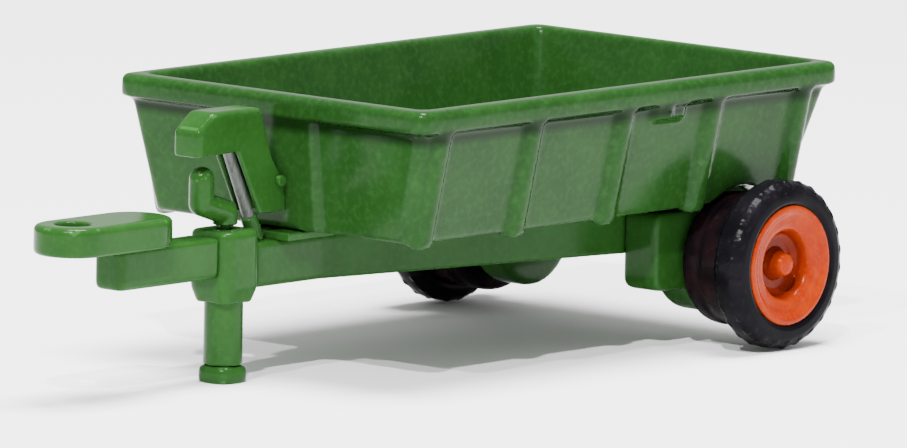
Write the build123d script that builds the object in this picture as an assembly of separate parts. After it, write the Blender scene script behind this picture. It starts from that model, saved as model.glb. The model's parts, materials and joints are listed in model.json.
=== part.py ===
"""Die-cast miniature of a single-axle tipping trailer, in millimetres.

Lengths along X are measured from the axle, forward to the hitch; Y is to the left; Z is up from the
ground.  Every piece is written with the origin moved under the middle of the whole length.
"""
from build123d import *
import os
from math import atan2, degrees, hypot

# ---- driving dimensions -------------------------------------------------------------------------
# Wheels and axle
WHEEL_RADIUS = 5.0
TYRE_WIDTH = 2.2
DRUM_RADIUS = 3.9            # stepped inner part of the wheel
HUB_RADIUS = 3.5
CAP_RADIUS = 0.72
TYRE_STANDOUT = 2.0          # tyre's outer face beyond the tub's rim
DRUM_TUCK = 3.35             # drum's inner face inside the tub's rim
AXLE_RADIUS = 0.6
AXLE_HEAD_WIDTH = 0.4
AXLE_HEAD_LIP = 0.4
RUNNING_GAP = 0.05           # radial, wheel on axle, leg in collar, hinge pin in its ears
SIDE_GAP = 0.25              # between faces that move past each other

# Tub
RIM_FRONT = 30.1
RIM_REAR = -6.5
RIM_HALF_WIDTH = 11.8
RIM_HEIGHT = 1.35
RIM_OVERHANG = 0.55
TUB_HEIGHT = 7.85
TUB_WALL = 0.9
TUB_FLOOR = 1.3
SIDE_SLOPE = 1.45            # how far a side wall leans in, from the rim to the floor
FRONT_SLOPE = 0.7
REAR_SLOPE = 1.8
TUB_CORNER = 0.7
RIB_COUNT = 5
RIB_INSET = (2.3, 2.9)       # first rib to the front rim, last rib to the rear rim
RIB_WIDTH = 1.2
RIB_DEPTH = 0.5
RIB_DROP = 0.3               # how far a rib's foot hangs below the floor
PAD_HALF_WIDTH = 3.2
PAD_DEPTH = 0.45
ARCH_GAP = 0.35

# Chassis
FRAME_LIFT = 2.9             # axle line to the top of the chassis
CHASSIS_DEPTH = 2.6
REST_HEIGHT = 0.45           # chassis to the tub's underside
FRONT_REST_HALF = 1.9
FRONT_REST_GAP = 1.7         # behind the collar, clear of the ram
DRAWBAR_HALF = 1.1
FRAME_TUCK = 6.2             # frame's side inside the tub's rim
RAIL_WIDTH = 1.9
REST_SIDE = 1.2
CHASSIS_REAR = -1.0
BLOCK_FRONT = 5.5
BLOCK_REAR = -3.2
BLOCK_DROP = 1.7             # axle line to the underside of an axle block
BLOCK_BOSS = 3.3
BLOCK_BOSS_WIDTH = 2.3

# Jack and lever
JACK_LEAD = 3.4              # front rim to the jack's centre line
COLLAR_SIDE = 3.2
COLLAR_RISE = 0.85           # above the chassis
COLLAR_HANG = 0.75           # below the chassis
COLLAR_ROUND = 0.9
COLLAR_TAPER = (0.36, 0.9)   # inward, upward
COLLAR_CAP = 0.5             # roof over the leg's bore
LEG_RADIUS = 1.12
JACK_TRAVEL = 2.2
FOOT_SIDE = 2.4
FOOT_ROUND = 0.8
FOOT_HEIGHT = 1.0
LEVER_RADIUS = 0.72
LEVER_REACH = 2.0
LEVER_HEIGHT = 3.7           # above the collar
STUD_RADIUS = 0.35

# Hitch
HEAD_LENGTH = 8.2            # in front of the collar
HEAD_DEPTH = 2.35
HEAD_LIFT = 0.8              # underside of the drawbar head above the chassis underside
RING_LEAD = 12.6             # jack to the centre of the hitch eye
RING_RADIUS = 2.2
RING_BORE = 1.0
RING_THICK = 1.7
RING_LENGTH = 5.0            # between the centres of the plate's two round ends
RIVET_RADIUS = 0.3

# Hood and ram
HOOD_HALF = 1.0
HOOD_CHEEK = 0.35
HOOD_LEAD = 3.4              # jack to the hood's front face
HOOD_DROP = 0.6              # top of the rim to the top of the hood
HOOD_SKIRT = 6.1             # top of the hood to its foot
HOOD_HEAD = 2.1              # thickness of the hood's head
HOOD_ROUND = 0.6
HOOD_ROOM = 1.45             # hollow ahead of the rod's top
HOOD_EDGE = 0.3
HOOD_PIN_RADIUS = 0.32
ROD_RADIUS = 0.35
ROD_SETBACK = 0.15           # rod's top behind the jack's centre line
ROD_BITE = 0.3               # rod's top below the underside of the hood's head
BARREL_DROP = 0.2            # barrel's top below the hood's foot
ROD_LEAN = 1.8
RAM_RADIUS = 0.5

# Tipping hinge
HINGE_X = -2.6
HINGE_DROP = 0.8             # below the top of the chassis
PIN_RADIUS = 0.35
EAR_HALF = 2.6               # centre line to the middle of a tub ear
EAR_WIDTH = 0.9
EAR_RADIUS = 0.85

# ---- places worked out from them ----------------------------------------------------------------
AXLE_Z = WHEEL_RADIUS
TRACK_HALF = RIM_HALF_WIDTH + TYRE_STANDOUT
DRUM_INNER_Y = RIM_HALF_WIDTH - DRUM_TUCK
TYRE_INNER_Y = TRACK_HALF - TYRE_WIDTH
AXLE_HEAD_RADIUS = AXLE_RADIUS + AXLE_HEAD_LIP

CHASSIS_TOP = AXLE_Z + FRAME_LIFT
CHASSIS_BOTTOM = CHASSIS_TOP - CHASSIS_DEPTH
CHASSIS_HALF = RIM_HALF_WIDTH - FRAME_TUCK
BLOCK_BOTTOM = AXLE_Z - BLOCK_DROP

TUB_BOTTOM = CHASSIS_TOP + REST_HEIGHT
RIM_TOP = TUB_BOTTOM + TUB_HEIGHT
RIM_UNDER = RIM_TOP - RIM_HEIGHT
FLOOR_TOP = TUB_BOTTOM + TUB_FLOOR
WALL_TOP_HALF = RIM_HALF_WIDTH - RIM_OVERHANG
WALL_LOW_HALF = WALL_TOP_HALF - SIDE_SLOPE
WALL_TOP_FRONT = RIM_FRONT - RIM_OVERHANG
WALL_LOW_FRONT = WALL_TOP_FRONT - FRONT_SLOPE
WALL_TOP_REAR = RIM_REAR + RIM_OVERHANG
WALL_LOW_REAR = WALL_TOP_REAR + REAR_SLOPE
RIB_FIRST = RIM_FRONT - RIB_INSET[0]
RIB_PITCH = (RIB_FIRST - RIM_REAR - RIB_INSET[1]) / (RIB_COUNT - 1)

JACK_X = RIM_FRONT + JACK_LEAD
COLLAR_FRONT = JACK_X + COLLAR_SIDE / 2
COLLAR_REAR = JACK_X - COLLAR_SIDE / 2
COLLAR_TOP = CHASSIS_TOP + COLLAR_RISE
COLLAR_BOTTOM = CHASSIS_BOTTOM - COLLAR_HANG
LEVER_TOP = COLLAR_TOP + LEVER_HEIGHT

HEAD_FRONT = COLLAR_FRONT + HEAD_LENGTH
HEAD_BOTTOM = CHASSIS_BOTTOM + HEAD_LIFT
RING_BOTTOM = HEAD_BOTTOM + HEAD_DEPTH
RING_X = JACK_X + RING_LEAD
HITCH_TIP = RING_X + RING_RADIUS
MIDDLE = (HITCH_TIP + RIM_REAR) / 2

HOOD_FRONT = JACK_X + HOOD_LEAD
HOOD_TOP = RIM_TOP - HOOD_DROP
HOOD_FOOT = HOOD_TOP - HOOD_SKIRT
HOOD_UNDER = HOOD_TOP - HOOD_HEAD
ROD_TOP = (JACK_X - ROD_SETBACK, HOOD_UNDER - ROD_BITE)
ROD_FOOT = (ROD_TOP[0] - ROD_LEAN, HOOD_FOOT - BARREL_DROP)
HINGE_Z = CHASSIS_TOP - HINGE_DROP


def wall_at(z, top, low):
    """Place of a sloping wall's outer face at height z."""
    return low + (top - low) * (z - TUB_BOTTOM) / (RIM_UNDER - TUB_BOTTOM)


def slab(rear, front, half, corner, z):
    """A rounded rectangle lying at height z."""
    return Pos((rear + front) / 2, 0, z) * RectangleRounded(front - rear, 2 * half, corner)


def bar(x0, x1, y0, y1, z0, z1):
    """A plain block between two corners."""
    size = Box(x1 - x0, y1 - y0, z1 - z0)
    return Pos((x0 + x1) / 2, (y0 + y1) / 2, (z0 + z1) / 2) * size


def disc_y(radius, y0, y1, x=0.0, z=0.0):
    """A cylinder along Y between y0 and y1."""
    return Pos(x, (y0 + y1) / 2, z) * Rot(90, 0, 0) * Cylinder(radius, abs(y1 - y0))


def side_plate(points, y0, y1):
    """A polygon drawn in the XZ plane, made solid between y0 and y1."""
    face = make_face(Polyline(*[(x, y0, z) for x, z in points], close=True))
    return extrude(face, amount=y1 - y0, dir=(0, 1, 0))


def mirrored(piece):
    """The same piece on the right-hand side."""
    return mirror(piece, about=Plane.XZ)


# ---- tub ----------------------------------------------------------------------------------------
def tub_shell():
    outer = loft([
        slab(WALL_LOW_REAR, WALL_LOW_FRONT, WALL_LOW_HALF, TUB_CORNER, TUB_BOTTOM),
        slab(WALL_TOP_REAR, WALL_TOP_FRONT, WALL_TOP_HALF, TUB_CORNER, RIM_UNDER),
    ])
    low = outer.edges().group_by(Axis.Z)[0]
    outer = fillet(low, 0.3)
    flange = extrude(slab(RIM_REAR, RIM_FRONT, RIM_HALF_WIDTH, TUB_CORNER, RIM_UNDER),
                     amount=RIM_HEIGHT)
    flange = fillet(flange.edges().group_by(Axis.Z)[-1], 0.5)
    flange = fillet(flange.edges().group_by(Axis.Z)[0], 0.3)
    return outer + flange


def tub_cavity():
    def inset(z):
        rear = wall_at(z, WALL_TOP_REAR, WALL_LOW_REAR) + TUB_WALL
        front = wall_at(z, WALL_TOP_FRONT, WALL_LOW_FRONT) - TUB_WALL
        half = wall_at(z, WALL_TOP_HALF, WALL_LOW_HALF) - TUB_WALL
        return slab(rear, front, half, TUB_CORNER * 0.6, z)
    return loft([inset(FLOOR_TOP), inset(RIM_TOP + 0.5)])


def side_rib(x):
    foot = TUB_BOTTOM - RIB_DROP
    low = wall_at(foot, WALL_TOP_HALF, WALL_LOW_HALF)
    high = wall_at(RIM_UNDER, WALL_TOP_HALF, WALL_LOW_HALF)
    bite = TUB_WALL / 2
    points = [(low - bite, foot), (low + RIB_DEPTH, foot), (high + RIB_DEPTH, RIM_UNDER + 0.2),
              (high - bite, RIM_UNDER + 0.2)]
    face = make_face(Polyline(*[(x - RIB_WIDTH / 2, y, z) for y, z in points], close=True))
    rib = extrude(face, amount=RIB_WIDTH, dir=(1, 0, 0))
    outer = rib.faces().sort_by(Axis.Y)[-1]
    return fillet(outer.edges().sort_by(Axis.Z)[:-1], RIB_WIDTH * 0.3)


def front_pad():
    foot = TUB_BOTTOM + 0.1
    low = wall_at(foot, WALL_TOP_FRONT, WALL_LOW_FRONT)
    high = wall_at(RIM_UNDER, WALL_TOP_FRONT, WALL_LOW_FRONT)
    points = [(low - 0.5, foot), (low + PAD_DEPTH, foot), (high + PAD_DEPTH, RIM_UNDER + 0.1),
              (high - 0.5, RIM_UNDER + 0.1)]
    pad = side_plate(points, -PAD_HALF_WIDTH, PAD_HALF_WIDTH)
    outer = pad.faces().sort_by(Axis.X)[-1]
    return fillet(outer.edges().filter_by(Axis.Y, reverse=True), PAD_DEPTH * 0.4)


def rim_lug():
    """Small cast lump under the rim, between the third and fourth ribs."""
    x = RIB_FIRST - RIB_PITCH * 2.45
    z = RIM_UNDER - 0.5
    y = wall_at(z, WALL_TOP_HALF, WALL_LOW_HALF)
    lump = bar(x - 1.6, x + 1.0, y - TUB_WALL / 2, y + 0.35, z - 0.35, RIM_UNDER + 0.1)
    return lump


def hinge_ears():
    ears = Part()
    for y in (-EAR_HALF, EAR_HALF):
        ear = disc_y(EAR_RADIUS, y - EAR_WIDTH / 2, y + EAR_WIDTH / 2, HINGE_X, HINGE_Z)
        ear += bar(HINGE_X - EAR_RADIUS * 0.2, HINGE_X + EAR_RADIUS * 1.6, y - EAR_WIDTH / 2,
                   y + EAR_WIDTH / 2, HINGE_Z - 0.1, TUB_BOTTOM)
        ear -= disc_y(PIN_RADIUS + RUNNING_GAP, y - EAR_WIDTH, y + EAR_WIDTH, HINGE_X, HINGE_Z)
        ears += ear
    return ears


def make_tub():
    tub = tub_shell()
    for i in range(RIB_COUNT):
        rib = side_rib(RIB_FIRST - i * RIB_PITCH)
        tub += rib
        tub += mirrored(rib)
    lug = rim_lug()
    tub += front_pad() + lug + mirrored(lug)
    tub -= tub_cavity()
    arch = disc_y(DRUM_RADIUS + ARCH_GAP, DRUM_INNER_Y - ARCH_GAP, RIM_HALF_WIDTH, 0, AXLE_Z)
    tub -= arch
    tub -= mirrored(arch)
    return tub


# ---- hood over the ram --------------------------------------------------------------------------
def hood_outline():
    low = HOOD_FOOT
    high = HOOD_FOOT + 1.6
    wall_low = wall_at(low, WALL_TOP_FRONT, WALL_LOW_FRONT) + PAD_DEPTH
    wall_high = wall_at(high, WALL_TOP_FRONT, WALL_LOW_FRONT) + PAD_DEPTH
    back = ROD_TOP[0] - 1.75
    return [(wall_low, low), (ROD_FOOT[0] + 0.1, low), (ROD_TOP[0] + 0.2, HOOD_UNDER - 0.3),
            (HOOD_FRONT, HOOD_UNDER - 0.4), (HOOD_FRONT, HOOD_TOP - 1.0), (HOOD_FRONT - 1.3, HOOD_TOP),
            (back, HOOD_TOP), (back - 1.1, HOOD_TOP - 3.2), (wall_high, high)]


def make_hood():
    body = side_plate(hood_outline(), -HOOD_HALF, HOOD_HALF)
    corners = body.edges().filter_by(Axis.Y).filter_by(lambda e: e.center().Z > HOOD_UNDER)
    body = fillet(corners, HOOD_ROUND)
    sides = body.edges().filter_by(lambda e: abs(abs(e.center().Y) - HOOD_HALF) < 0.01)
    body = fillet(sides.filter_by(lambda e: e.center().Z > HOOD_UNDER - 0.3), HOOD_EDGE)
    inner = HOOD_HALF - HOOD_CHEEK
    hollow = bar(ROD_FOOT[0] - 1.6, ROD_TOP[0] + HOOD_ROOM, -inner, inner, HOOD_FOOT - 1.5, HOOD_UNDER)
    return body - hollow


def make_hood_pin():
    z = HOOD_FOOT + 1.8
    x = wall_at(z, WALL_TOP_FRONT, WALL_LOW_FRONT) + PAD_DEPTH + 0.56
    pins = Part()
    for side in (-1, 1):
        pins += disc_y(HOOD_PIN_RADIUS, side * HOOD_HALF, side * (HOOD_HALF + 0.35), x, z)
    return pins


# ---- chassis ------------------------------------------------------------------------------------
def make_chassis():
    nose = COLLAR_REAR
    shoulder = nose - 5.5
    outline = [(nose, DRAWBAR_HALF), (shoulder, DRAWBAR_HALF), (BLOCK_FRONT, CHASSIS_HALF),
               (CHASSIS_REAR, CHASSIS_HALF), (CHASSIS_REAR, -CHASSIS_HALF),
               (BLOCK_FRONT, -CHASSIS_HALF), (shoulder, -DRAWBAR_HALF), (nose, -DRAWBAR_HALF)]
    face = make_face(Polyline(*[(x, y, CHASSIS_BOTTOM) for x, y in outline], close=True))
    frame = extrude(face, amount=CHASSIS_DEPTH, dir=(0, 0, 1))
    slope = (CHASSIS_HALF - DRAWBAR_HALF) / (shoulder - BLOCK_FRONT)
    front = shoulder - (RAIL_WIDTH - DRAWBAR_HALF) / slope - 2.0
    inner_front = DRAWBAR_HALF + slope * (shoulder - front) - RAIL_WIDTH
    window = [(front, inner_front), (BLOCK_FRONT, CHASSIS_HALF - RAIL_WIDTH),
              (BLOCK_FRONT, RAIL_WIDTH - CHASSIS_HALF), (front, -inner_front)]
    hole = make_face(Polyline(*[(x, y, CHASSIS_BOTTOM - 1) for x, y in window], close=True))
    frame -= extrude(hole, amount=CHASSIS_DEPTH + 2, dir=(0, 0, 1))
    return frame - disc_y(AXLE_RADIUS, -CHASSIS_HALF - 1, CHASSIS_HALF + 1, 0, AXLE_Z)


def make_axle_block():
    y0 = CHASSIS_HALF
    y1 = DRUM_INNER_Y - SIDE_GAP
    block = bar(BLOCK_REAR, BLOCK_FRONT, y0, y1, BLOCK_BOTTOM, CHASSIS_TOP)
    block = fillet(block.edges().filter_by(Axis.Y), 0.6)
    block += disc_y(BLOCK_BOSS, y1 - BLOCK_BOSS_WIDTH, y1, 0, AXLE_Z)
    return block - disc_y(AXLE_RADIUS, y0 - 1, y1 + 1, 0, AXLE_Z)


def make_hinge_lugs():
    """Two lugs behind the chassis, outside the tub's ears, that hold the hinge pin's ends."""
    lugs = Part()
    for side in (-1, 1):
        y0 = side * (EAR_HALF + EAR_WIDTH / 2 + SIDE_GAP)
        y1 = y0 + side * EAR_WIDTH
        low, high = sorted((y0, y1))
        lug = disc_y(EAR_RADIUS, low, high, HINGE_X, HINGE_Z)
        lug += bar(HINGE_X, CHASSIS_REAR, low, high, HINGE_Z - EAR_RADIUS, HINGE_Z + 0.5)
        lug -= disc_y(PIN_RADIUS, low - 1, high + 1, HINGE_X, HINGE_Z)
        lugs += lug
    return lugs


def make_rest_pads():
    pads = Part()
    for side in (-1, 1):
        y = side * (CHASSIS_HALF - 1.0)
        half = REST_SIDE / 2
        pads += bar(2.0, 5.0, y - half, y + half, CHASSIS_TOP, TUB_BOTTOM)
    front = COLLAR_REAR - FRONT_REST_GAP
    pads += bar(front - 4.0, front, -FRONT_REST_HALF, FRONT_REST_HALF, CHASSIS_TOP, TUB_BOTTOM)
    return pads


# ---- jack ---------------------------------------------------------------------------------------
def make_collar():
    shape = Pos(JACK_X, 0, COLLAR_BOTTOM) * RectangleRounded(COLLAR_SIDE, COLLAR_SIDE, COLLAR_ROUND)
    collar = extrude(shape, amount=COLLAR_TOP - COLLAR_BOTTOM)
    collar = fillet(collar.edges().group_by(Axis.Z)[-1], 0.3)
    sole = collar.faces().sort_by(Axis.Z)[0]
    collar = chamfer(sole.edges(), COLLAR_TAPER[0], COLLAR_TAPER[1], reference=sole)
    bore_top = COLLAR_TOP - COLLAR_CAP
    height = bore_top - COLLAR_BOTTOM + 1
    collar -= Pos(JACK_X, 0, bore_top - height / 2) * Cylinder(LEG_RADIUS + RUNNING_GAP, height)
    return collar - Pos(JACK_X, 0, COLLAR_TOP) * Cylinder(STUD_RADIUS + RUNNING_GAP, 2)


def make_leg():
    top = COLLAR_TOP - COLLAR_CAP - JACK_TRAVEL - RUNNING_GAP
    height = top - FOOT_HEIGHT
    return Pos(JACK_X, 0, FOOT_HEIGHT + height / 2) * Cylinder(LEG_RADIUS, height)


def make_foot():
    shape = Pos(JACK_X, 0, 0) * RectangleRounded(FOOT_SIDE, FOOT_SIDE, FOOT_ROUND)
    foot = extrude(shape, amount=FOOT_HEIGHT)
    return fillet(foot.edges().group_by(Axis.Z)[-1], 0.35)


def make_lever():
    """Z-shaped locking lever: a stub over the collar, a sloping arm and an upright grip."""
    r = LEVER_RADIUS
    base = COLLAR_TOP + r * 0.3
    grip = JACK_X + LEVER_REACH
    points = [(JACK_X, base + r), (grip, base + r * 1.9), (grip, LEVER_TOP - r)]
    lever = Pos(JACK_X, 0, base + r / 2) * Cylinder(r, r)
    for start, end in zip(points, points[1:]):
        length = hypot(end[0] - start[0], end[1] - start[1])
        lean = degrees(atan2(end[0] - start[0], end[1] - start[1]))
        lever += Pos(start[0], 0, start[1]) * Rot(0, lean, 0) * Pos(0, 0, length / 2) * Cylinder(r, length)
    for x, z in points:
        lever += Pos(x, 0, z) * Sphere(r)
    return lever


def make_stud():
    low = COLLAR_TOP - 0.45
    high = COLLAR_TOP + LEVER_RADIUS * 0.3
    return Pos(JACK_X, 0, (low + high) / 2) * Cylinder(STUD_RADIUS, high - low)


# ---- hitch --------------------------------------------------------------------------------------
def make_drawbar_head():
    head = bar(COLLAR_FRONT, HEAD_FRONT, -DRAWBAR_HALF, DRAWBAR_HALF, HEAD_BOTTOM, RING_BOTTOM)
    front = head.edges().filter_by(Axis.Z).sort_by(Axis.X)[-2:]
    head = fillet(front, 0.5)
    low = head.edges().group_by(Axis.Z)[0]
    head = fillet(low.filter_by(Axis.X), 0.3)
    for x in rivet_places():
        head -= Pos(x, 0, RING_BOTTOM) * Cylinder(RIVET_RADIUS, 2)
    return head


def rivet_places():
    centre = RING_X - RING_LENGTH
    return (centre - 0.6, centre + 1.0)


def make_ring_plate():
    shape = Pos(RING_X - RING_LENGTH / 2, 0, RING_BOTTOM) * SlotCenterToCenter(RING_LENGTH, 2 * RING_RADIUS)
    plate = extrude(shape, amount=RING_THICK)
    plate = fillet(plate.edges().group_by(Axis.Z)[-1], 0.35)
    plate = fillet(plate.edges().group_by(Axis.Z)[0], 0.25)
    plate -= Pos(RING_X, 0, RING_BOTTOM + RING_THICK / 2) * Cylinder(RING_BORE, RING_THICK * 2)
    for x in rivet_places():
        plate -= Pos(x, 0, RING_BOTTOM) * Cylinder(RIVET_RADIUS, RING_THICK * 3)
    return plate


def make_hitch_rivets():
    rivets = Part()
    low = RING_BOTTOM - 1
    high = RING_BOTTOM + RING_THICK
    for x in rivet_places():
        rivets += Pos(x, 0, (low + high) / 2) * Cylinder(RIVET_RADIUS, high - low)
    return rivets


# ---- ram ----------------------------------------------------------------------------------------
def rod_line(point):
    """A placement at point, with Z along the leaning rod."""
    lean = degrees(atan2(ROD_TOP[0] - ROD_FOOT[0], ROD_TOP[1] - ROD_FOOT[1]))
    return Pos(point[0], 0, point[1]) * Rot(0, lean, 0)


def make_ram_barrel():
    """Short barrel in line with the rod, cut flat where it stands on the drawbar."""
    length = 2 * (ROD_FOOT[1] - CHASSIS_TOP)
    barrel = rod_line(ROD_FOOT) * Pos(0, 0, -length / 2) * Cylinder(RAM_RADIUS, length)
    x = ROD_FOOT[0]
    return barrel - bar(x - 5, x + 5, -2, 2, CHASSIS_TOP - 5, CHASSIS_TOP)


def make_ram_rod():
    length = hypot(ROD_TOP[0] - ROD_FOOT[0], ROD_TOP[1] - ROD_FOOT[1])
    return rod_line(ROD_FOOT) * Pos(0, 0, length / 2) * Cylinder(ROD_RADIUS, length)


# ---- wheels -------------------------------------------------------------------------------------
def make_axle():
    tip = head_plane()
    axle = disc_y(AXLE_RADIUS, -tip, tip, 0, AXLE_Z)
    for side in (-1, 1):
        axle += disc_y(AXLE_HEAD_RADIUS, side * tip, side * (tip + AXLE_HEAD_WIDTH), 0, AXLE_Z)
    return axle


def head_plane():
    """Inner face of the axle's riveted head."""
    return TYRE_INNER_Y + SIDE_GAP


def make_drum():
    drum = disc_y(DRUM_RADIUS, DRUM_INNER_Y, TYRE_INNER_Y, 0, AXLE_Z)
    inner = drum.edges().filter_by(GeomType.CIRCLE).sort_by(Axis.Y)[0]
    drum = fillet(inner, 0.5)
    return drum - disc_y(AXLE_RADIUS + RUNNING_GAP, DRUM_INNER_Y - 1, TYRE_INNER_Y + 1, 0, AXLE_Z)


def make_tyre():
    tyre = disc_y(WHEEL_RADIUS, TYRE_INNER_Y, TRACK_HALF, 0, AXLE_Z)
    tyre = fillet(tyre.edges().filter_by(GeomType.CIRCLE), 0.45)
    return tyre - disc_y(HUB_RADIUS, TYRE_INNER_Y - 1, TRACK_HALF + 1, 0, AXLE_Z)


def make_hub():
    hub = disc_y(HUB_RADIUS, TYRE_INNER_Y, TRACK_HALF - 0.1, 0, AXLE_Z)
    dish = Pos(0, TRACK_HALF + 0.65, AXLE_Z) * Rot(90, 0, 0) * Cone(2.9, 1.9, 3.0)
    hub -= disc_y(2.1, TRACK_HALF - 0.9, TRACK_HALF + 1, 0, AXLE_Z)
    hub -= dish & disc_y(3.2, TRACK_HALF - 0.9, TRACK_HALF + 1, 0, AXLE_Z)
    pocket = AXLE_HEAD_RADIUS + SIDE_GAP
    return hub - disc_y(pocket, TYRE_INNER_Y - 1, head_plane() + AXLE_HEAD_WIDTH + SIDE_GAP, 0, AXLE_Z)


def make_cap():
    low = TRACK_HALF - 0.9
    cap = disc_y(CAP_RADIUS, low, TRACK_HALF - 0.05, 0, AXLE_Z)
    return fillet(cap.edges().filter_by(GeomType.CIRCLE).sort_by(Axis.Y)[-1], 0.3)


# ---- write every piece --------------------------------------------------------------------------
def all_pieces():
    block = make_axle_block()
    pieces = {
        "tub": make_tub(),
        "tub_hinge_ears": hinge_ears(),
        "hoist_hood": make_hood(),
        "hood_pin_heads": make_hood_pin(),
        "chassis_frame": make_chassis(),
        "axle_block_left": block,
        "axle_block_right": mirrored(block),
        "hinge_lugs": make_hinge_lugs(),
        "hinge_pin": disc_y(PIN_RADIUS, -EAR_HALF - 2 * EAR_WIDTH, EAR_HALF + 2 * EAR_WIDTH,
                            HINGE_X, HINGE_Z),
        "tub_rest_pads": make_rest_pads(),
        "jack_collar": make_collar(),
        "jack_leg": make_leg(),
        "jack_foot": make_foot(),
        "locking_lever": make_lever(),
        "lever_stud": make_stud(),
        "drawbar_head": make_drawbar_head(),
        "hitch_ring_plate": make_ring_plate(),
        "hitch_rivets": make_hitch_rivets(),
        "ram_barrel": make_ram_barrel(),
        "ram_rod": make_ram_rod(),
        "axle": make_axle(),
    }
    for side, turn in (("left", lambda p: p), ("right", mirrored)):
        pieces[f"wheel_drum_{side}"] = turn(make_drum())
        pieces[f"tyre_{side}"] = turn(make_tyre())
        pieces[f"wheel_hub_{side}"] = turn(make_hub())
        pieces[f"hub_cap_{side}"] = turn(make_cap())
    return pieces


os.makedirs("parts", exist_ok=True)
for name, piece in all_pieces().items():
    export_step(Pos(-MIDDLE, 0, 0) * piece, f"parts/{name}.step")
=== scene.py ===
# %% [markdown]
# # A die-cast miniature tipping trailer
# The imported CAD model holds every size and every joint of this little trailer.  This lesson builds the
# looks around it: castings whose edges are drowned in thick gloss enamel, moulded wheels and a drawn
# steel rod.  Everything is in metres, in the frame of the CAD model: X runs forward to the hitch, Y to
# the trailer's left and Z up.

# %% Load the frame
import json
import math
import bmesh
import bpy
from mathutils import Matrix, Vector


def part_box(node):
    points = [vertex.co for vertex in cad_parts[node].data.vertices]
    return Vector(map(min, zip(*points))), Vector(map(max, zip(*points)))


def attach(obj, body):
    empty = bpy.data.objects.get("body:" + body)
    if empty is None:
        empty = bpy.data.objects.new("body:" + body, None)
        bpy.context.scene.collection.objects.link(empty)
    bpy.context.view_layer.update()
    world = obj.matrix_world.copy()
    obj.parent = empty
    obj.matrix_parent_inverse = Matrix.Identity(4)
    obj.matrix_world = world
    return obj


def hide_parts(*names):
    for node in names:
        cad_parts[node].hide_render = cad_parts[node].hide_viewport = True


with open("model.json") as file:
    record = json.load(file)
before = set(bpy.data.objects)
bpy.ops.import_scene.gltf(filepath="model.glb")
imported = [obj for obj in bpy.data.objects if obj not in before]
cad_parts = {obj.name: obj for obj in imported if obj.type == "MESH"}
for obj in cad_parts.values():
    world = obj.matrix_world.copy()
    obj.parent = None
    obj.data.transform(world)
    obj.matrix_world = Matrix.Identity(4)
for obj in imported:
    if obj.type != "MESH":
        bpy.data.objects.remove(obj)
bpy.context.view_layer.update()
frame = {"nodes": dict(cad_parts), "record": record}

MM = 0.001


# %% [markdown]
# Operators act on whatever is selected, so each modelling step starts with nothing selected.  `pick`
# selects vertices, edges or faces by a test on their place, as a person would with the mouse.

# %% Selecting
def only(piece):
    """Selects one object and makes it active."""
    for other in bpy.context.selected_objects:
        other.select_set(False)
    piece.select_set(True)
    bpy.context.view_layer.objects.active = piece


def pick(piece, wanted, kind="VERT"):
    """In edit mode, selects the elements for which wanted(element) is true."""
    bpy.ops.mesh.select_mode(type=kind)
    bpy.ops.mesh.select_all(action="DESELECT")
    mesh = bmesh.from_edit_mesh(piece.data)
    groups = {"VERT": mesh.verts, "EDGE": mesh.edges, "FACE": mesh.faces}
    for element in groups[kind]:
        element.select_set(bool(wanted(element)))
    mesh.select_flush_mode()
    bmesh.update_edit_mesh(piece.data)


def settle(piece, name):
    """Puts an object's place, turn and scale into its mesh, and names it."""
    only(piece)
    bpy.ops.object.transform_apply(location=True, rotation=True, scale=True)
    piece.name = name
    piece.data.name = name
    return piece


# %% [markdown]
# Castings start as blocks, bars and balls.  Their helpers take places in millimetres, ahead of the axle,
# to the left and above the ground, because the sizes of a miniature are easier to read that way.  They
# leave the place in the mesh, so that every finished object sits at the origin.  The axle's place comes
# from the frame: the rearmost point of its round heads is one head's radius behind its middle.

# %% Places
AXLE_HEAD_RADIUS, AXLE_Z = 1.0, 5.0
AXLE_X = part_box("axle")[0][0] / MM + AXLE_HEAD_RADIUS


def spot(x, y, z):
    """A place in metres, from millimetres ahead of the axle, to the left and above the ground."""
    return Vector(((x + AXLE_X) * MM, y * MM, z * MM))


def about_axle(angle):
    """The turn by an angle about the axle."""
    centre = Matrix.Translation(spot(0, 0, AXLE_Z))
    return centre @ Matrix.Rotation(angle, 4, "Y") @ centre.inverted()


print("axle", AXLE_X, "mm ahead of the origin")


# %% Blocks, bars and balls
def block(name, low, high):
    """A block between two corners."""
    middle = [(a + b) / 2 for a, b in zip(low, high)]
    size = [(b - a) * MM for a, b in zip(low, high)]
    bpy.ops.mesh.primitive_cube_add(size=1, location=spot(*middle), scale=size)
    return settle(bpy.context.object, name)


def rod(name, start, end, radius, sides=40):
    """A round bar between two places."""
    a, b = spot(*start), spot(*end)
    turn = (b - a).to_track_quat("Z", "Y").to_euler()
    bpy.ops.mesh.primitive_cylinder_add(vertices=sides, radius=radius * MM, depth=(b - a).length,
                                        location=(a + b) / 2, rotation=turn)
    return settle(bpy.context.object, name)


def ball(name, centre, radius):
    bpy.ops.mesh.primitive_uv_sphere_add(segments=32, ring_count=20, radius=radius * MM,
                                         location=spot(*centre))
    return settle(bpy.context.object, name)


# %% Copies and joining
def duplicate(piece, name):
    """A second object with its own mesh."""
    twin = piece.copy()
    twin.data = piece.data.copy()
    bpy.context.collection.objects.link(twin)
    twin.name = name
    return twin


def join(name, pieces):
    only(pieces[0])
    for piece in pieces[1:]:
        piece.select_set(True)
    bpy.ops.object.join()
    joined = bpy.context.object
    joined.name = name
    return joined


def mirror_copy(piece, name):
    """The same piece on the right-hand side, with its faces outward."""
    twin = duplicate(piece, name)
    twin.data.transform(Matrix.Scale(-1, 4, Vector((0, 1, 0))))
    only(twin)
    bpy.ops.object.mode_set(mode="EDIT")
    bpy.ops.mesh.select_all(action="SELECT")
    bpy.ops.mesh.normals_make_consistent(inside=False)
    bpy.ops.object.mode_set(mode="OBJECT")
    return twin


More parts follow.
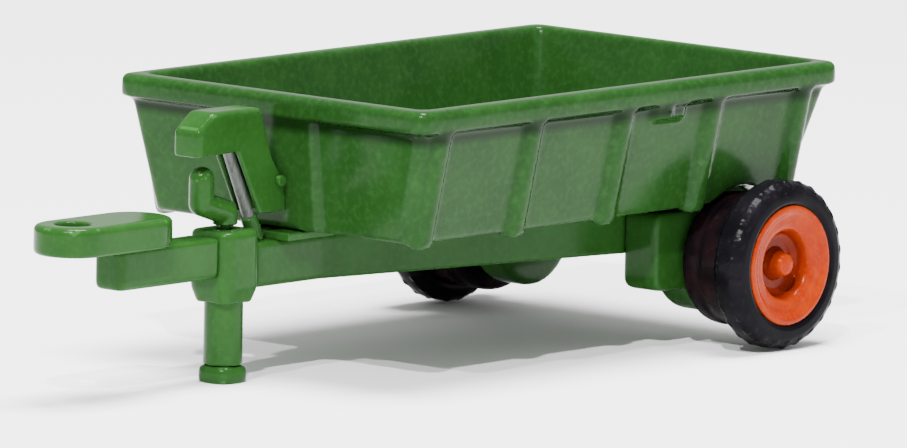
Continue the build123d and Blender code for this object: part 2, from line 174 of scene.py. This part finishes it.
# %% [markdown]
# Thick enamel rounds every edge and fills every inner corner of a small casting.  A bevel cannot fill an
# inner corner, so the block-out is turned into one skin of tiny squares by a voxel remesh, and that skin
# is relaxed.  The mesh is enlarged a thousand times for this and shrunk again, because Remesh has a
# smallest voxel.

# %% Enamel skin
def enamel_skin(piece, voxel, rounds):
    """Melts a block-out, in place, into one softly rounded casting.  The voxel is in millimetres."""
    piece.data.transform(Matrix.Scale(1 / MM, 4))
    only(piece)
    remesh = piece.modifiers.new("one skin", "REMESH")
    remesh.mode = "VOXEL"
    remesh.voxel_size = voxel
    bpy.ops.object.modifier_apply(modifier=remesh.name)
    relax = piece.modifiers.new("pooled paint", "SMOOTH")
    relax.factor = 0.5
    relax.iterations = rounds
    bpy.ops.object.modifier_apply(modifier=relax.name)
    piece.data.transform(Matrix.Scale(MM, 4))
    only(piece)
    bpy.ops.object.shade_smooth()
    print(piece.name, len(piece.data.polygons), "faces")
    return piece


# %% [markdown]
# Shader maths reads best as plain Python, so a small class wraps a socket and turns each operator into a
# Math node.

# %% Shader maths
class Value:
    """A number that varies over the surface."""

    def __init__(self, graph, socket):
        self.graph = graph
        self.socket = socket

    def _math(self, operation, *others):
        inputs = {i: other for i, other in enumerate((self, *others))}
        return self.graph.node("ShaderNodeMath", {"operation": operation}, inputs)

    def __add__(self, other):
        return self._math("ADD", other)

    def __radd__(self, other):
        return self._math("ADD", other)

    def __mul__(self, other):
        return self._math("MULTIPLY", other)

    def __rmul__(self, other):
        return self._math("MULTIPLY", other)

    def __sub__(self, other):
        return self._math("SUBTRACT", other)

    def __rsub__(self, other):
        return self.graph.node("ShaderNodeMath", {"operation": "SUBTRACT"}, {0: other, 1: self})

    def absolute(self):
        return self._math("ABSOLUTE")

    def larger(self, other):
        """This value or another, whichever is larger."""
        return self._math("MAXIMUM", other)

    def between(self, low, high):
        """0 under low, 1 over high, and even in between."""
        settings = {"clamp": True}
        inputs = {"Value": self, "From Min": low, "From Max": high, "To Min": 0.0, "To Max": 1.0}
        return self.graph.node("ShaderNodeMapRange", settings, inputs)


class Finish:
    """A material's node graph, with one method for any node."""

    def __init__(self, name):
        self.material = bpy.data.materials.new(name)
        self.material.use_nodes = True
        self.tree = self.material.node_tree
        self.shader = self.tree.nodes["Principled BSDF"]

    def node(self, kind, settings=None, inputs=None, output=0):
        """Adds a node, makes its settings, then feeds its sockets, and returns one of its outputs."""
        made = self.tree.nodes.new(kind)
        for key, value in (settings or {}).items():
            setattr(made, key, value)
        for key, value in (inputs or {}).items():
            self._feed(made.inputs[key], value)
        return Value(self, made.outputs[output])

    def _feed(self, socket, value):
        if isinstance(value, Value):
            self.tree.links.new(value.socket, socket)
        else:
            socket.default_value = value

    def set(self, **sockets):
        """Feeds the shader's own sockets, with _ for a space in their names."""
        for key, value in sockets.items():
            self._feed(self.shader.inputs[key.replace("_", " ")], value)

    def place(self):
        """Object coordinates, which stay with the piece when it moves."""
        return self.node("ShaderNodeTexCoord", output=3)

    def along(self, axis):
        """How far along X, Y or Z (0, 1 or 2) a point of the surface lies, in millimetres."""
        return self.node("ShaderNodeSeparateXYZ", {}, {0: self.place()}, output=axis) * (1 / MM)

    def pointiness(self):
        """Above 0.5 on edges and below it in hollows."""
        return self.node("ShaderNodeNewGeometry", output=7)

    def noise(self, size_mm, detail=3.0):
        """Soft cloudy noise whose blotches are about size_mm across."""
        inputs = {"Vector": self.place(), "Scale": 1 / (size_mm * MM), "Detail": detail, "Roughness": 0.5}
        return self.node("ShaderNodeTexNoise", {}, inputs)

    def mix(self, factor, first, second):
        """One colour at factor 0 and another at factor 1."""
        inputs = {0: factor, 6: self.colour(first), 7: self.colour(second)}
        return self.node("ShaderNodeMix", {"data_type": "RGBA"}, inputs, output=2)

    def colour(self, value):
        return value if isinstance(value, Value) else (*value, 1)

    def bump(self, height, strength, depth_mm):
        """A normal that makes a height of depth_mm show, as far as strength says."""
        inputs = {"Strength": strength, "Distance": depth_mm * MM, "Height": height}
        return self.node("ShaderNodeBump", {}, inputs)


# %% [markdown]
# The green is a thick gloss enamel.  It is paler over edges, where it pulls thin and where a highlight
# is painted, darker in inner corners as painted shade, a little uneven in tone, and has the slight orange
# peel of sprayed paint.  Pointiness tells edges from hollows, but only over a mesh's nearest neighbours,
# so the wide band of painted shade in the corner under the tub's rim is found by its place instead.  The
# tub carries a darker copy of the castings' mix, with fainter pale edges, as painted shade on its large
# walls.

# %% Painted shade under the rim
RIM_SHADE_REAR, RIM_SHADE_FRONT, RIM_SHADE_HALF = -4.9, 28.6, 10.3
RIM_SHADE_START, RIM_SHADE_FULL, RIM_SHADE_TOP, RIM_SHADE_END = 13.9, 14.4, 14.85, 15.1
RIM_SHADE_COLOUR = (0.002, 0.010, 0.0015)


def shade_under_the_rim(paint):
    """1 in the corner between the outside of a wall and the rim above it, and 0 elsewhere."""
    x, y, z = (paint.along(axis) for axis in range(3))
    ahead = x - (RIM_SHADE_FRONT + AXLE_X)
    behind = (AXLE_X + RIM_SHADE_REAR) - x
    outside = (y.absolute() - RIM_SHADE_HALF).larger(ahead).larger(behind)
    return outside.between(0.2, 0.4) * z.between(RIM_SHADE_START, RIM_SHADE_FULL) * z.between(RIM_SHADE_END, RIM_SHADE_TOP)


# %% Green enamel
# The tub's mix is the castings' mix made darker, as painted shade on its large walls.
TUB_SHADED_MIX = {"deep": (0.0075, 0.0345, 0.0056), "bright": (0.0112, 0.0465, 0.0082), "thin_edge_highlight": 0.1}
CASTING_MIX = {"deep": (0.0102, 0.0480, 0.0072), "bright": (0.0150, 0.0640, 0.0104), "thin_edge_highlight": 0.4}


def green_enamel(name, mix, rim_shade=False):
    """The body colour in one of its two mixes, with or without the painted shade under the tub's rim."""
    paint = Finish(name)
    edge = paint.pointiness()
    cloud = paint.noise(3.5, 4.0)
    grain = paint.noise(0.35, 2.0)
    tone = paint.mix(cloud.between(0.35, 0.7), mix["deep"], mix["bright"])
    tone = paint.mix(grain.between(0.45, 0.8) * 0.45, tone, (0.021, 0.074, 0.0155))
    # darker in hollows: painted shade
    tone = paint.mix(edge.between(0.495, 0.40) * 0.75, tone, (0.002, 0.011, 0.0015))
    # paler on edges: thin paint, and a painted highlight where the rounded edges catch light
    tone = paint.mix(edge.between(0.53, 0.62) * mix["thin_edge_highlight"], tone, (0.050, 0.150, 0.036))
    if rim_shade:
        # painted shade in the corner under the rim
        tone = paint.mix(shade_under_the_rim(paint) * 0.9, tone, RIM_SHADE_COLOUR)
    peel = paint.noise(0.55, 2.0) * 0.7 + grain * 0.3
    paint.set(Base_Color=tone, Roughness=0.15 + cloud.between(0.4, 0.8) * 0.08,
              Normal=paint.bump(peel, 0.09, 0.03), Specular_IOR_Level=0.075, IOR=1.5)
    return paint.material


GREEN = green_enamel("green_enamel", CASTING_MIX)
SHADED_TUB_GREEN = green_enamel("green_enamel_tub_shaded", TUB_SHADED_MIX, rim_shade=True)
print("green enamel", GREEN.name, SHADED_TUB_GREEN.name)


# %% [markdown]
# The wheels are plastics.  The hubs are a glossy orange with darker swirls from the moulding gate, and
# the colour deepens down the well round the boss, where little light comes back out.  The tyres are a
# near black, paler on their edges as a painted highlight.  The drums are the same, but their paler tone
# is red, so that the painted highlight on their edges stands for the red reflection seen along them.

# %% Orange hub
WELL_MOUTH, WELL_FLOOR = 13.42, 12.75


def orange_gloss():
    plastic = Finish("orange_gloss")
    edge = plastic.pointiness()
    swirl = plastic.noise(1.1, 3.0)
    grain = plastic.noise(0.22, 2.0)
    tone = plastic.mix(swirl.between(0.35, 0.7), (0.22, 0.0125, 0.0001), (0.28, 0.026, 0.0003))
    tone = plastic.mix(grain.between(0.5, 0.8) * 0.35, tone, (0.40, 0.050, 0.0015))
    # darker in hollows: painted shade
    tone = plastic.mix(edge.between(0.495, 0.42) * 0.75, tone, (0.13, 0.009, 0.001))
    outward = plastic.along(1).absolute()
    tone = plastic.mix(outward.between(WELL_MOUTH, WELL_FLOOR) * 0.8, tone, (0.10, 0.0065, 0.0008))
    plastic.set(Base_Color=tone, Roughness=0.16 + grain.between(0.4, 0.8) * 0.10,
                Normal=plastic.bump(plastic.noise(0.4, 2.0), 0.2, 0.03), IOR=1.48,
                Specular_IOR_Level=0.07)
    return plastic.material


ORANGE = orange_gloss()
print("orange", ORANGE.name)


# %% Black tyre and drum
def black_moulding(name, dark, worn_and_sheen, rough, peel_mm):
    """A black plastic: its two tones, the paler of which also gives the painted highlight on edges, how rough
    it is at least, and the size of its orange peel.
    """
    moulding = Finish(name)
    edge = moulding.pointiness()
    cloud = moulding.noise(1.6, 4.0)
    grain = moulding.noise(peel_mm, 3.0)
    tone = moulding.mix(cloud.between(0.4, 0.75), dark, worn_and_sheen)
    # paler on edges: a painted highlight, which on the drum is red for the red reflection along its edge
    edge_highlight = tuple(channel * 1.6 for channel in worn_and_sheen)
    tone = moulding.mix(edge.between(0.52, 0.62) * 0.5, tone, edge_highlight)
    moulding.set(Base_Color=tone, Roughness=rough + cloud.between(0.35, 0.8) * 0.12,
                 Normal=moulding.bump(grain, 0.22, 0.04), IOR=1.5, Specular_IOR_Level=0.025)
    return moulding.material


RUBBER = black_moulding("tyre_black", (0.0030, 0.0028, 0.0036), (0.0065, 0.0055, 0.0075), 0.16, 0.25)
DRUM_BLACK = black_moulding("drum_black", (0.0034, 0.0026, 0.0034), (0.012, 0.0050, 0.0060), 0.20, 0.35)
print("blacks", RUBBER.name, DRUM_BLACK.name)


# %% [markdown]
# The ram's rod is drawn wire: grey, dull, with fine lines along its length and a few darker stains.  A
# Mapping node stretches one noise along Z, which is close enough to the rod's lean.  The axle and the
# hinge pin are cut from the same wire.

# %% Drawn steel
def drawn_steel():
    steel = Finish("drawn_steel")
    lines = steel.node("ShaderNodeMapping", {}, {"Vector": steel.place(), "Scale": (9000.0, 9000.0, 500.0)})
    streak = steel.node("ShaderNodeTexNoise", {}, {"Vector": lines, "Scale": 1.0, "Detail": 2.0})
    stain = steel.noise(1.2, 3.0)
    tone = steel.mix(streak.between(0.3, 0.7), (0.030, 0.036, 0.030), (0.075, 0.085, 0.075))
    tone = steel.mix(stain.between(0.5, 0.75) * 0.5, tone, (0.045, 0.045, 0.040))
    steel.set(Base_Color=tone, Metallic=0.1, Roughness=0.5 + stain.between(0.4, 0.8) * 0.2,
              Normal=steel.bump(streak, 0.15, 0.02))
    return steel.material


STEEL = drawn_steel()
print("steel", STEEL.name)


# %% [markdown]
# The CAD record says which body each node rides on and which material slot it fills.  A finished piece
# takes both from the first node that it stands for, so that nothing is written twice.

# %% Handing a piece over
SLOTS = {"green_paint": GREEN, "steel": STEEL, "tyre_rubber": RUBBER, "black_plastic": DRUM_BLACK,
         "orange_plastic": ORANGE}
BODY_OF = {node: body for body, nodes in frame["record"]["behaviour"]["bodies"].items() for node in nodes}
SLOT_OF = {part["node"]: part["material_slot"] for part in frame["record"]["subparts"]}
print("finishes", [m.name for m in SLOTS.values()])


def hand_over(piece, *nodes, finish=None):
    """Gives a finished piece its finish and its body, and hides the CAD nodes that it stands for."""
    slot = SLOT_OF[nodes[0]]
    piece.data.materials.clear()
    piece.data.materials.append(finish or SLOTS[slot])
    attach(piece, BODY_OF[nodes[0]])
    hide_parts(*nodes)
    return piece


# %% [markdown]
# The tub is box modelling at its plainest.  A block is tapered toward its floor; its top is drawn out
# sideways into the rim, then up, then inward to the wall's thickness, and finally pushed down to make
# the hollow.  Bevels round the walls' corners, the rim's corners in plan and the rim's outer top edge.

# %% Tub sizes
RIM_REAR, RIM_FRONT, RIM_HALF = -6.5, 30.1, 11.8
RIM_TOP, RIM_HEIGHT, RIM_OVERHANG = 16.2, 1.35, 0.55
TUB_BOTTOM, TUB_FLOOR, TUB_WALL = 8.35, 1.3, 0.9
SIDE_SLOPE, FRONT_SLOPE, REAR_SLOPE = 1.45, 0.7, 1.8
RIM_UNDER = RIM_TOP - RIM_HEIGHT
WALL_TOP = (RIM_REAR + RIM_OVERHANG, RIM_FRONT - RIM_OVERHANG, RIM_HALF - RIM_OVERHANG)
WALL_LOW = (WALL_TOP[0] + REAR_SLOPE, WALL_TOP[1] - FRONT_SLOPE, WALL_TOP[2] - SIDE_SLOPE)


def wall_at(z):
    """Rear, front and half width of the walls' outer faces at height z."""
    share = (z - TUB_BOTTOM) / (RIM_UNDER - TUB_BOTTOM)
    return tuple(low + (top - low) * share for low, top in zip(WALL_LOW, WALL_TOP))


def inner_at(z):
    """The same for the walls' inner faces."""
    rear, front, half = wall_at(z)
    return rear + TUB_WALL, front - TUB_WALL, half - TUB_WALL


def fit_rectangle(now, then):
    """Turns the selected flat ring from one rectangle into another: (rear, front, half width)."""
    centre = (now[0] + now[1]) / 2
    size = ((then[1] - then[0]) / (now[1] - now[0]), then[2] / now[2], 1)
    bpy.ops.transform.resize(value=size, center_override=((centre + AXLE_X) * MM, 0, 0))
    bpy.ops.transform.translate(value=(((then[0] + then[1]) / 2 - centre) * MM, 0, 0))


def outside_mouth(point):
    """Whether a point lies nearer the rim's outer edge than the mouth."""
    x = point.x / MM - AXLE_X
    y = abs(point.y) / MM
    return min(x - RIM_REAR, RIM_FRONT - x, RIM_HALF - y) < RIM_OVERHANG


def rise(edge):
    """How far an edge climbs, in metres."""
    return abs(edge.verts[0].co.z - edge.verts[1].co.z)


def on_rim_side(point):
    """Whether a point lies on the outer face of the rim's left or right side."""
    return abs(point.y) > (RIM_HALF - 0.1) * MM and point.z > (RIM_UNDER - 0.1) * MM


print("tub walls lean from", WALL_LOW, "to", WALL_TOP)


# %% Tub shell
WALL_CORNER, RIM_CORNER, RIM_EDGE = 0.55, 0.9, 0.38


def tub_shell():
    rear, front, half = WALL_TOP
    shell = block("tub_cast", (rear, -half, TUB_BOTTOM), (front, half, RIM_UNDER))
    bpy.ops.object.mode_set(mode="EDIT")
    pick(shell, lambda v: v.co.z < (TUB_BOTTOM + 1) * MM)
    fit_rectangle(WALL_TOP, WALL_LOW)
    rim = (RIM_REAR, RIM_FRONT, RIM_HALF)
    pick(shell, lambda f: f.normal.z > 0.9, "FACE")
    bpy.ops.mesh.extrude_region_move()
    fit_rectangle(WALL_TOP, rim)
    bpy.ops.mesh.extrude_region_move(TRANSFORM_OT_translate={"value": (0, 0, RIM_HEIGHT * MM)})
    bpy.ops.mesh.extrude_region_move()
    mouth = inner_at(RIM_TOP)
    fit_rectangle(rim, mouth)
    floor = TUB_BOTTOM + TUB_FLOOR
    bpy.ops.mesh.extrude_region_move(TRANSFORM_OT_translate={"value": (0, 0, (floor - RIM_TOP) * MM)})
    fit_rectangle(mouth, inner_at(floor))
    pick(shell, lambda e: rise(e) > RIM_HEIGHT * 2 * MM, "EDGE")
    bpy.ops.mesh.bevel(offset=WALL_CORNER * MM, segments=4)
    pick(shell, lambda e: (rise(e) > 0.5 * RIM_HEIGHT * MM
                           and all(on_rim_side(v.co) for v in e.verts)), "EDGE")
    bpy.ops.mesh.bevel(offset=RIM_CORNER * MM, segments=5)
    top = (RIM_TOP - 0.01) * MM
    pick(shell, lambda e: all(v.co.z > top and outside_mouth(v.co) for v in e.verts), "EDGE")
    bpy.ops.mesh.bevel(offset=RIM_EDGE * MM, segments=4)
    bpy.ops.object.mode_set(mode="OBJECT")
    print("tub shell", len(shell.data.vertices), "vertices")
    return shell


# %% [markdown]
# Five rounded ribs stand on each side.  One is modelled as a leaning bar with its outer edges bevelled,
# and the others are copies.  Their feet hang a little below the floor, as on a pressed steel body.  A
# small lug with a bead sits under the rim between two ribs, and a flat pad stands on the front wall.
# Everything is sunk a little into the wall, so that the enamel skin finds one solid.

# %% Ribs
RIB_FIRST, RIB_PITCH, RIB_COUNT = 27.8, 7.85, 5
RIB_WIDTH, RIB_DEPTH, RIB_DROP = 1.2, 0.55, 0.3
SUNK = 0.4


def first_rib():
    """The foremost bar on the left wall, which follows the wall's lean."""
    foot = TUB_BOTTOM - RIB_DROP
    low, high = wall_at(foot)[2], wall_at(RIM_UNDER)[2]
    bar = block("rib", (RIB_FIRST - RIB_WIDTH / 2, low - SUNK, foot),
                (RIB_FIRST + RIB_WIDTH / 2, low + RIB_DEPTH, RIM_UNDER + 0.2))
    bpy.ops.object.mode_set(mode="EDIT")
    pick(bar, lambda v: v.co.z > (foot + 1) * MM)
    bpy.ops.transform.translate(value=(0, (high - low) * MM, 0))
    pick(bar, lambda e: min(v.co.y for v in e.verts) > (low + RIB_DEPTH / 2) * MM, "EDGE")
    bpy.ops.mesh.bevel(offset=RIB_DEPTH * 0.62 * MM, segments=3)
    bpy.ops.object.mode_set(mode="OBJECT")
    return bar


def shifted(piece, name, ahead):
    """A copy of a piece, so many millimetres further ahead."""
    twin = duplicate(piece, name)
    twin.data.transform(Matrix.Translation((ahead * MM, 0, 0)))
    return twin


def side_ribs():
    first = first_rib()
    return [first] + [shifted(first, "rib", -i * RIB_PITCH) for i in range(1, RIB_COUNT)]


# %% Rim lugs, front pad and all the trim
RIM_LUG_PITCHES, RIM_LUG_DROP = 2.45, 0.5
RIM_LUG_REAR, RIM_LUG_FRONT, RIM_LUG_DEPTH, RIM_LUG_FOOT = 1.6, 1.0, 0.42, 0.4
BEAD_AHEAD, BEAD_OUT, BEAD_RADIUS = 0.1, 0.25, 0.42
PAD_HALF, PAD_DEPTH = 3.2, 0.45


def rim_lug():
    """The lug and its bead under the left side's rim."""
    z = RIM_UNDER - RIM_LUG_DROP
    x = RIB_FIRST - RIB_PITCH * RIM_LUG_PITCHES
    half = wall_at(z)[2]
    body = block("lug", (x - RIM_LUG_REAR, half - SUNK, z - RIM_LUG_FOOT),
                 (x + RIM_LUG_FRONT, half + RIM_LUG_DEPTH, RIM_UNDER + 0.1))
    return [body, ball("lug_bead", (x + BEAD_AHEAD, half + BEAD_OUT, z), BEAD_RADIUS)]


def front_pad():
    """The flat raised panel in the middle of the front wall."""
    foot = TUB_BOTTOM + 0.1
    low, high = wall_at(foot)[1], wall_at(RIM_UNDER)[1]
    pad = block("pad", (low - 0.5, -PAD_HALF, foot), (low + PAD_DEPTH, PAD_HALF, RIM_UNDER + 0.1))
    bpy.ops.object.mode_set(mode="EDIT")
    pick(pad, lambda v: v.co.z > (foot + 1) * MM)
    bpy.ops.transform.translate(value=((high - low) * MM, 0, 0))
    bpy.ops.object.mode_set(mode="OBJECT")
    return pad


def tub_trim():
    left = side_ribs() + rim_lug()
    right = [mirror_copy(piece, piece.name) for piece in left]
    trim = left + right + [front_pad()]
    print("trim", len(trim), "pieces")
    return trim


# %% [markdown]
# The lower corners of the tub pass close over the wheel drums, so a shallow arch is cut there with a
# Boolean, before the whole tub is melted into one skin.

# %% Wheel arches and the finished tub
ARCH_RADIUS, ARCH_IN, ARCH_OUT = 4.25, 8.1, 12


def cut_with(piece, cutter):
    """Takes a cutter's shape out of a piece, and removes the cutter."""
    only(piece)
    cut = piece.modifiers.new("cut", "BOOLEAN")
    cut.operation = "DIFFERENCE"
    cut.object = cutter
    cut.solver = "EXACT"
    bpy.ops.object.modifier_apply(modifier=cut.name)
    bpy.data.objects.remove(cutter)


shell = tub_shell()
for side in (-1, 1):
    ends = [(0, side * y, AXLE_Z) for y in (ARCH_IN, ARCH_OUT)]
    cut_with(shell, rod("arch", *ends, ARCH_RADIUS, 96))
tub = join("tub_cast", [shell] + tub_trim())
enamel_skin(tub, voxel=0.17, rounds=10)
hand_over(tub, "tub", finish=SHADED_TUB_GREEN)


# %% [markdown]
# The wheels are turned shapes.  A single point is extruded along the outline of a section, which lies on
# one side of the axle, and the outline is spun about the axle, as clay on a wheel.

# %% Turning a section
def turned(name, section):
    """Spins a closed section of (radius, outward place) about the left wheel's axle, in millimetres."""
    radius, outward = section[0]
    bpy.ops.mesh.primitive_plane_add(size=MM, location=spot(0, outward, AXLE_Z + radius))
    piece = settle(bpy.context.object, name)
    bpy.ops.object.mode_set(mode="EDIT")
    bpy.ops.mesh.select_all(action="SELECT")
    bpy.ops.mesh.merge(type="CENTER")
    closed = list(section[1:]) + [section[0]]
    for (radius, outward), (next_radius, next_outward) in zip(section, closed):
        step = (0, (next_outward - outward) * MM, (next_radius - radius) * MM)
        bpy.ops.mesh.extrude_region_move(TRANSFORM_OT_translate={"value": step})
    bpy.ops.mesh.select_all(action="SELECT")
    bpy.ops.mesh.spin(steps=120, angle=2 * math.pi, center=spot(0, 0, AXLE_Z), axis=(0, 1, 0))
    bpy.ops.mesh.select_all(action="SELECT")
    bpy.ops.mesh.remove_doubles(threshold=0.004 * MM)
    bpy.ops.mesh.normals_make_consistent(inside=False)
    bpy.ops.object.mode_set(mode="OBJECT")
    return piece


def around(piece, count, name):
    """Copies a piece round the axle and joins the copies."""
    copies = [piece]
    for i in range(1, count):
        twin = duplicate(piece, piece.name)
        twin.data.transform(about_axle(2 * math.pi * i / count))
        copies.append(twin)
    return join(name, copies)


# %% [markdown]
# The tyre has a plain round section with short lugs on both shoulders.  A lug is a leaning block with
# bevelled edges; copies stand all round the rim, and the same melting joins them to the carcass.  The
# lugs are low and small, so that they show mostly as broken highlights.

# %% Tyre
TYRE_IN, TYRE_OUT = 11.6, 13.8
LUG_COUNT, LUG_RADIUS, LUG_INSET, LUG_LEAN = 26, 4.67, 0.42, math.radians(38)
LUG_SIZE = (0.46, 0.74, 0.20)


def lug(outward, lean):
    """One lug on top of the tyre, tilted to lie on a shoulder."""
    bpy.ops.mesh.primitive_cube_add(size=1, location=spot(0, outward, AXLE_Z + LUG_RADIUS),
                                    scale=[size * MM for size in LUG_SIZE], rotation=(lean, 0, 0))
    piece = settle(bpy.context.object, "lug")
    bevel = piece.modifiers.new("soft edges", "BEVEL")
    bevel.width = 0.08 * MM
    bevel.segments = 2
    bpy.ops.object.modifier_apply(modifier=bevel.name)
    return piece


def make_tyre():
    carcass = turned("tyre_body", [(3.3, TYRE_IN), (4.2, TYRE_IN), (4.62, TYRE_IN + 0.2),
                                   (4.88, TYRE_IN + 0.6), (4.9, 12.7), (4.88, TYRE_OUT - 0.7),
                                   (4.66, TYRE_OUT - 0.26), (4.25, TYRE_OUT - 0.04), (3.75, TYRE_OUT),
                                   (3.45, TYRE_OUT - 0.2), (3.3, TYRE_OUT - 0.4)])
    outer = around(lug(TYRE_OUT - LUG_INSET, -LUG_LEAN), LUG_COUNT, "outer_lugs")
    inner = around(lug(TYRE_IN + LUG_INSET, LUG_LEAN), LUG_COUNT, "inner_lugs")
    inner.data.transform(about_axle(math.pi / LUG_COUNT))
    tyre = join("tyre_cast_left", [carcass, outer, inner])
    return enamel_skin(tyre, voxel=0.08, rounds=6)


# %% [markdown]
# The hub has a rolled lip, a shallow dish, a deep well, and a round boss that stands up out of the well.
# The drum is the wide grooved cylinder inboard of the tyre.  Each is turned from its own section, melted
# only a little, and mirrored for the right-hand wheel.

# %% Hub, boss and drum
def make_hub():
    hub = turned("hub_cast_left", [(1.25, 11.62), (3.42, 11.62), (3.46, 13.3), (3.52, 13.56), (3.46, 13.72),
                                   (3.30, 13.78), (3.10, 13.74), (2.94, 13.62), (2.80, 13.56), (2.35, 13.50),
                                   (2.12, 13.40), (1.98, 13.22), (1.90, 12.95), (1.80, 12.62), (1.5, 12.46),
                                   (0.2, 12.44), (0.2, 12.36), (1.25, 12.36)])
    return enamel_skin(hub, voxel=0.07, rounds=4)


def make_boss():
    boss = turned("boss_cast_left", [(0.0, 12.42), (1.05, 12.42), (0.88, 12.62), (0.74, 12.90), (0.68, 13.2),
                                     (0.58, 13.42), (0.36, 13.55), (0.0, 13.60)])
    return enamel_skin(boss, voxel=0.05, rounds=5)


def make_drum():
    drum = turned("drum_cast_left", [(0.65, 8.45), (3.2, 8.45), (3.55, 8.52), (3.8, 8.75), (3.88, 9.1),
                                     (3.9, 9.6), (3.78, 9.8), (3.8, 10.05), (3.88, 10.2), (3.88, 11.6),
                                     (0.65, 11.6)])
    return enamel_skin(drum, voxel=0.12, rounds=3)


# %% Both wheels
WHEEL_PARTS = {"tyre": make_tyre, "wheel_hub": make_hub, "hub_cap": make_boss, "wheel_drum": make_drum}
for part, make in WHEEL_PARTS.items():
    piece = make()
    hand_over(piece, part + "_left")
    twin = mirror_copy(piece, piece.name.replace("left", "right"))
    hand_over(twin, part + "_right")


# %% [markdown]
# The smaller castings keep the CAD shape.  A copy of each is melted in the same way as the tub, so that
# paint seems to round it.  A finer voxel suits the finer pieces.  The rivets of the hitch plate are melted
# together with the plate, because paint hides the seam round them.  The jack collar's bore is reamed
# again afterwards, because the melting narrows it and the leg slides in it.

# %% Casting from CAD nodes
def copy_of(node, name):
    """A loose copy of a CAD node, with no paint."""
    piece = duplicate(frame["nodes"][node], name)
    piece.parent = None
    piece.matrix_world = Matrix.Identity(4)
    piece.data.materials.clear()
    return piece


def cast_from(nodes, name, voxel, rounds):
    """One softly rounded casting made from copies of one or more CAD nodes."""
    piece = join(name, [copy_of(node, name) for node in nodes])
    only(piece)
    bpy.ops.object.mode_set(mode="EDIT")
    bpy.ops.mesh.select_all(action="SELECT")
    bpy.ops.mesh.remove_doubles(threshold=0.001 * MM)
    bpy.ops.object.mode_set(mode="OBJECT")
    return enamel_skin(piece, voxel, rounds)


# %% Small castings
# for each node, the voxel in millimetres and the rounds of relaxing
SOFT = {"chassis_frame": (0.14, 10), "axle_block_left": (0.15, 20), "axle_block_right": (0.15, 20),
        "hinge_lugs": (0.08, 4), "tub_hinge_ears": (0.08, 4), "tub_rest_pads": (0.1, 3),
        "jack_collar": (0.10, 18), "jack_leg": (0.09, 3), "jack_foot": (0.10, 16), "locking_lever": (0.07, 6),
        "lever_stud": (0.05, 2), "drawbar_head": (0.11, 18), "hitch_ring_plate": (0.09, 8),
        "hoist_hood": (0.08, 14), "hood_pin_heads": (0.05, 4), "ram_barrel": (0.07, 3)}
PAINTED_OVER = {"hitch_ring_plate": ("hitch_rivets",)}
JACK_X, BORE_RADIUS, BORE_LOW, BORE_HIGH = 33.5, 1.21, 3.5, 8.3

for node, (voxel, rounds) in SOFT.items():
    nodes = (node,) + PAINTED_OVER.get(node, ())
    piece = cast_from(nodes, node + "_cast", voxel, rounds)
    if node == "jack_collar":
        cut_with(piece, rod("reamer", (JACK_X, 0, BORE_LOW), (JACK_X, 0, BORE_HIGH), BORE_RADIUS, 64))
    hand_over(piece, *nodes)


# %% [markdown]
# The wire pieces keep the CAD shape as it is, because paint doesn't round them.  Only their finish is new.

# %% Wire
for node in ("hinge_pin", "ram_rod", "axle"):
    node_object = frame["nodes"][node]
    node_object.data.materials.clear()
    node_object.data.materials.append(SLOTS[SLOT_OF[node]])
    print(node, "in", SLOTS[SLOT_OF[node]].name)


# %% [markdown]
# The set is a white sweep, so the floor is a large pale plane and the world is nearly white.  One big
# soft light hangs overhead and two small ones give the paired sparkles on the paint.

# %% Floor
bpy.ops.mesh.primitive_plane_add(size=3.0, location=(0, 0, 0))
floor = settle(bpy.context.object, "floor")
paper = Finish("paper")
white = paper.mix(paper.noise(20.0, 2.0), (0.93, 0.93, 0.93), (0.95, 0.95, 0.95))
paper.set(Base_Color=white, Roughness=0.9)
floor.data.materials.append(paper.material)
print("floor", tuple(floor.dimensions))


# %% Light
world = bpy.data.worlds.new("studio")
world.use_nodes = True
background = world.node_tree.nodes["Background"]
background.inputs["Color"].default_value = (1.0, 1.0, 1.0, 1)
background.inputs["Strength"].default_value = 0.80
bpy.context.scene.world = world


def lamp(name, place, target, size, power):
    """A square lamp of a size in metres and a power in watts, turned to a target."""
    bpy.ops.object.light_add(type="AREA", location=place)
    light = bpy.context.object
    light.name = name
    light.data.size = size
    light.data.energy = power
    light.rotation_euler = (Vector(place) - Vector(target)).to_track_quat("Z", "Y").to_euler()


lamp("overhead", (-0.05, 0.02, 0.5), (0, 0, 0), 0.20, 9.0)
lamp("key_small", (0.42, 0.30, 0.55), (0, 0, 0.01), 0.020, 6.5)
lamp("second_small", (0.50, 0.16, 0.50), (0, 0, 0.01), 0.014, 3.6)


# %% [markdown]
# The camera stands far away with a long lens, so that upright and level lines stay parallel, as in a
# catalogue picture of a small model.  It looks at a place given in millimetres from the origin, from a
# turn about Z and a rise above the ground, and is rolled a little.

# %% Camera
VIEW_TURN, VIEW_RISE, VIEW_ROLL = math.radians(41.39), math.radians(7.857), math.radians(1.12)
VIEW_DISTANCE, LENS = 0.8, 543.45
AIM = Vector((-15.383, -7.445, 5.676)) * MM
back = Vector((math.cos(VIEW_TURN) * math.cos(VIEW_RISE), math.sin(VIEW_TURN) * math.cos(VIEW_RISE),
               math.sin(VIEW_RISE)))
bpy.ops.object.camera_add(location=AIM + back * VIEW_DISTANCE)
camera = bpy.context.object
camera.data.lens = LENS
right = Vector((0, 0, 1)).cross(back).normalized()
up = back.cross(right)
right, up = (right * math.cos(VIEW_ROLL) + up * math.sin(VIEW_ROLL),
             up * math.cos(VIEW_ROLL) - right * math.sin(VIEW_ROLL))
camera.matrix_world = Matrix.Translation(camera.location) @ Matrix((right, up, back)).transposed().to_4x4()
bpy.context.scene.camera = camera
print("camera", tuple(round(place, 4) for place in camera.location), "lens", LENS)
